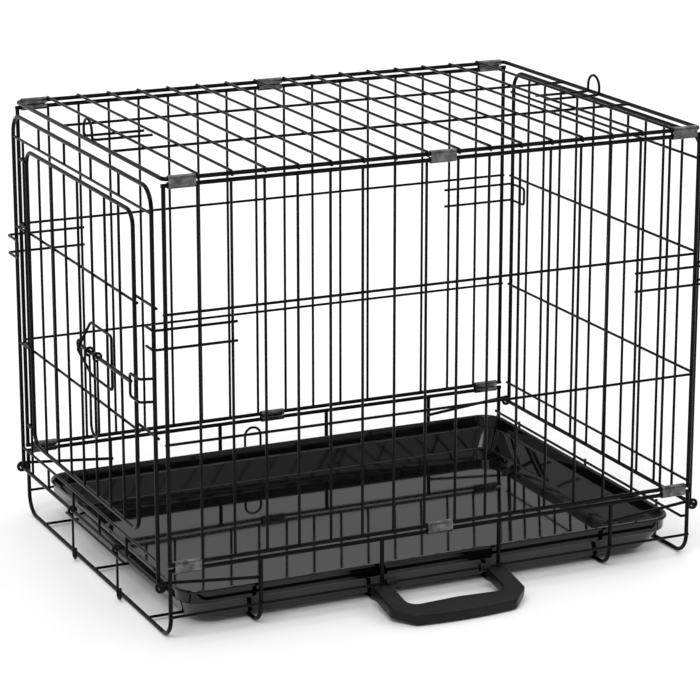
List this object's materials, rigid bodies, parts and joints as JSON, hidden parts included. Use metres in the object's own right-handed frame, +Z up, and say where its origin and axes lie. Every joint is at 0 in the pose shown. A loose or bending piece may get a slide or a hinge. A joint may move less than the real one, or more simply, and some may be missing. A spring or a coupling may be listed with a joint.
{
  "type": "wire dog crate",
  "caption": "Folding wire dog crate with hinged panels, an end door with a slide latch, a pull-out plastic tray, a tray gate and a swinging carry handle.",
  "frame": {"origin": "centre of the bounding box on the floor", "axes": "+Z up, +X from the door end to the plain end, -Y towards the side with the carry handle"},
  "size_m": [0.654, 0.5268, 0.5025],
  "materials": {
    "coated_wire": "satin black coating on steel wire",
    "sheet_steel": "glossy black coating on folded sheet steel",
    "tray_plastic": "glossy black moulded plastic",
    "handle_plastic": "fine-grained black moulded plastic"
  },
  "bodies": {
    "base": {"base_basket": "coated_wire", "front_bottom_left_sleeve": "sheet_steel", "front_bottom_middle_sleeve": "sheet_steel", "front_bottom_right_sleeve": "sheet_steel", "back_bottom_left_sleeve": "sheet_steel", "back_bottom_middle_sleeve": "sheet_steel", "back_bottom_right_sleeve": "sheet_steel"},
    "tray": {"tray": "tray_plastic"},
    "gate": {"tray_gate": "coated_wire"},
    "handle": {"carry_handle": "handle_plastic"},
    "front_side": {"front_panel": "coated_wire"},
    "back_side": {"back_panel": "coated_wire"},
    "top": {"top_panel": "coated_wire", "front_top_left_sleeve": "sheet_steel", "front_top_middle_sleeve": "sheet_steel", "front_top_right_sleeve": "sheet_steel", "back_top_left_sleeve": "sheet_steel", "back_top_middle_sleeve": "sheet_steel", "back_top_right_sleeve": "sheet_steel"},
    "left_end": {"left_end_panel": "coated_wire"},
    "right_end": {"right_end_panel": "coated_wire"},
    "door": {"door": "coated_wire", "latch_bracket": "coated_wire"},
    "bolt": {"latch_bolt": "coated_wire"},
    "grip": {"latch_handle": "coated_wire"}
  },
  "joints": [
    {"name": "front_fold", "type": "hinge", "parent": "base", "child": "front_side", "pos_m": [0.00627, -0.18612, 0.0815], "axis": [1, 0, 0], "range_deg": [0, 2]},
    {"name": "back_fold", "type": "hinge", "parent": "base", "child": "back_side", "pos_m": [0.00627, 0.25888, 0.0815], "axis": [1, 0, 0], "range_deg": [0, 2]},
    {"name": "top_fold", "type": "hinge", "parent": "front_side", "child": "top", "pos_m": [0.00627, -0.18612, 0.47425], "axis": [1, 0, 0], "range_deg": [-2, 0]},
    {"name": "left_end_fold", "type": "hinge", "parent": "base", "child": "left_end", "pos_m": [-0.30773, 0.03638, 0.058], "axis": [0, 1, 0], "range_deg": [0, 90]},
    {"name": "right_end_fold", "type": "hinge", "parent": "base", "child": "right_end", "pos_m": [0.32027, 0.03638, 0.058], "axis": [0, 1, 0], "range_deg": [-87, 0]},
    {"name": "door_swing", "type": "hinge", "parent": "left_end", "child": "door", "pos_m": [-0.30773, 0.21638, 0.27], "axis": [0, 0, 1], "range_deg": [-110, 0]},
    {"name": "bolt_slide", "type": "slide", "parent": "door", "child": "bolt", "axis": [0, -1, 0], "range_m": [0, 0.022]},
    {"name": "grip_turn", "type": "hinge", "parent": "bolt", "child": "grip", "pos_m": [-0.31807, -0.02612, 0.265], "axis": [0, -1, 0], "range_deg": [-95, 0]},
    {"name": "tray_slide", "type": "slide", "parent": "base", "child": "tray", "axis": [1, 0, 0], "range_m": [-0.022, 0]},
    {"name": "gate_swing", "type": "hinge", "parent": "base", "child": "gate", "pos_m": [-0.30773, 0.01438, 0.058], "axis": [0, -1, 0], "range_deg": [-100, 0]},
    {"name": "handle_swing", "type": "hinge", "parent": "base", "child": "handle", "pos_m": [0.00377, -0.18909, 0.026], "axis": [1, 0, 0], "range_deg": [-95, 0]}
  ],
  "couplings": [
    {"joint": "back_fold", "follows": "front_fold", "ratio": 1},
    {"joint": "top_fold", "follows": "front_fold", "ratio": -1}
  ]
}
